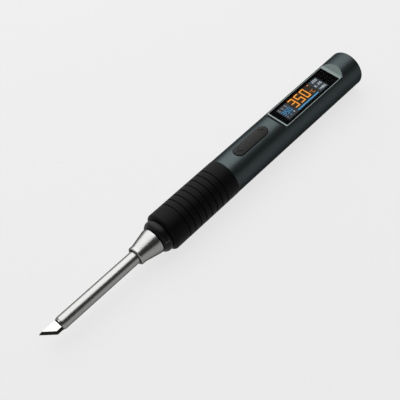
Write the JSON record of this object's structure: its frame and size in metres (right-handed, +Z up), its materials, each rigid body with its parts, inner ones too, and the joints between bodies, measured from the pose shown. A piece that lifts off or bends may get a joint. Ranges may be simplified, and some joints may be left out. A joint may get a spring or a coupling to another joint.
{
  "type": "soldering iron",
  "caption": "Pen-shaped electronic soldering iron with a knife-tip cartridge, a collet nut, a rubber grip, a two-way key, a display and a USB-C inlet.",
  "frame": {"origin": "under the middle of the iron's length, on the surface that it lies on", "axes": "+X from the tip to the rear inlet along the iron, +Y to the left seen from the tip, +Z up out of the display"},
  "size_m": [0.1932, 0.0182, 0.0184],
  "materials": {
    "plated_tip": "iron-plated copper, bright",
    "barrel_steel": "polished stainless steel",
    "polished_steel": "polished stainless steel",
    "ceramic": "matte white alumina",
    "cream_plastic": "heat-proof moulded plastic",
    "gold_contact": "gold-plated spring alloy",
    "brass": "machined brass",
    "black_nose": "black glass-filled plastic, satin",
    "seal_rubber": "black silicone",
    "grip_rubber": "matte black silicone rubber",
    "housing_metal": "satin teal-grey anodised aluminium",
    "key_plastic": "dark charcoal, satin",
    "pin_steel": "ground steel",
    "dark_plastic": "moulded, matte",
    "screw_steel": "zinc-plated steel",
    "display_glass": "black-backed cover glass, polished",
    "bezel_metal": "bright satin aluminium",
    "panel": "lit colour display",
    "white_plastic": "moulded, matte",
    "flex": "amber polyimide film",
    "circuit_board": "green solder mask on glass epoxy",
    "chip_black": "black epoxy",
    "ferrite": "pressed iron powder",
    "capacitor_tan": "ceramic capacitor body",
    "black_plastic": "black, satin",
    "socket_steel": "nickel-plated steel"
  },
  "bodies": {
    "handle": {"nose_bush": "black_nose", "nose_seal": "seal_rubber", "grip_sleeve": "grip_rubber", "housing_tube": "housing_metal", "rocker_pin": "pin_steel", "key_bracket": "dark_plastic", "bracket_screws": "screw_steel", "switch_bodies": "dark_plastic", "display_glass": "display_glass", "display_bezel": "bezel_metal", "glass_gasket": "seal_rubber", "display_panel": "panel", "panel_frame": "white_plastic", "display_flex": "flex", "control_board": "circuit_board", "control_chips": "chip_black", "board_spacers": "brass", "spacer_screws": "screw_steel", "board_header": "chip_black", "power_board": "circuit_board", "inductor": "ferrite", "capacitors": "capacitor_tan", "power_transistors": "chip_black", "contact_block": "cream_plastic", "contact_springs": "gold_contact", "chassis": "dark_plastic", "usb_shell": "socket_steel", "usb_tongue": "chip_black", "end_plug": "black_plastic", "end_screws": "screw_steel"},
    "cartridge": {"tip_blade": "plated_tip", "cartridge_barrel": "barrel_steel", "heater_core": "ceramic", "cartridge_stem": "cream_plastic", "contact_rings": "gold_contact"},
    "collet": {"collet": "brass"},
    "collar_nut": {"collar_nut": "polished_steel"},
    "rocker": {"rocker_key": "key_plastic"},
    "front_plunger": {"plunger_front": "cream_plastic"},
    "rear_plunger": {"plunger_rear": "cream_plastic"}
  },
  "joints": [
    {"name": "cartridge_slide", "type": "slide", "parent": "handle", "child": "cartridge", "axis": [-1, 0, 0], "range_m": [0, 0.04]},
    {"name": "collet_slide", "type": "slide", "parent": "handle", "child": "collet", "axis": [-1, 0, 0], "range_m": [0, 0.0015]},
    {"name": "nut_turn", "type": "hinge", "parent": "collet", "child": "collar_nut", "pos_m": [-0.0416, 0, 0.0091], "axis": [-1, 0, 0], "range_deg": [0, 720]},
    {"name": "key_rock", "type": "hinge", "parent": "handle", "child": "rocker", "pos_m": [0.0256, 0, 0.0141], "axis": [0, 1, 0], "range_deg": [-1.8, 1.8], "stiffness_Nm_per_rad": 0.4},
    {"name": "front_press", "type": "slide", "parent": "handle", "child": "front_plunger", "axis": [0, 0, -1], "range_m": [-0.00026, 0.00026]},
    {"name": "rear_press", "type": "slide", "parent": "handle", "child": "rear_plunger", "axis": [0, 0, -1], "range_m": [-0.00026, 0.00026]}
  ],
  "couplings": [
    {"joint": "nut_turn", "follows": "collet_slide", "rad_per_m": 8377.6},
    {"joint": "front_press", "follows": "key_rock", "m_per_rad": -0.008},
    {"joint": "rear_press", "follows": "key_rock", "m_per_rad": 0.008}
  ]
}
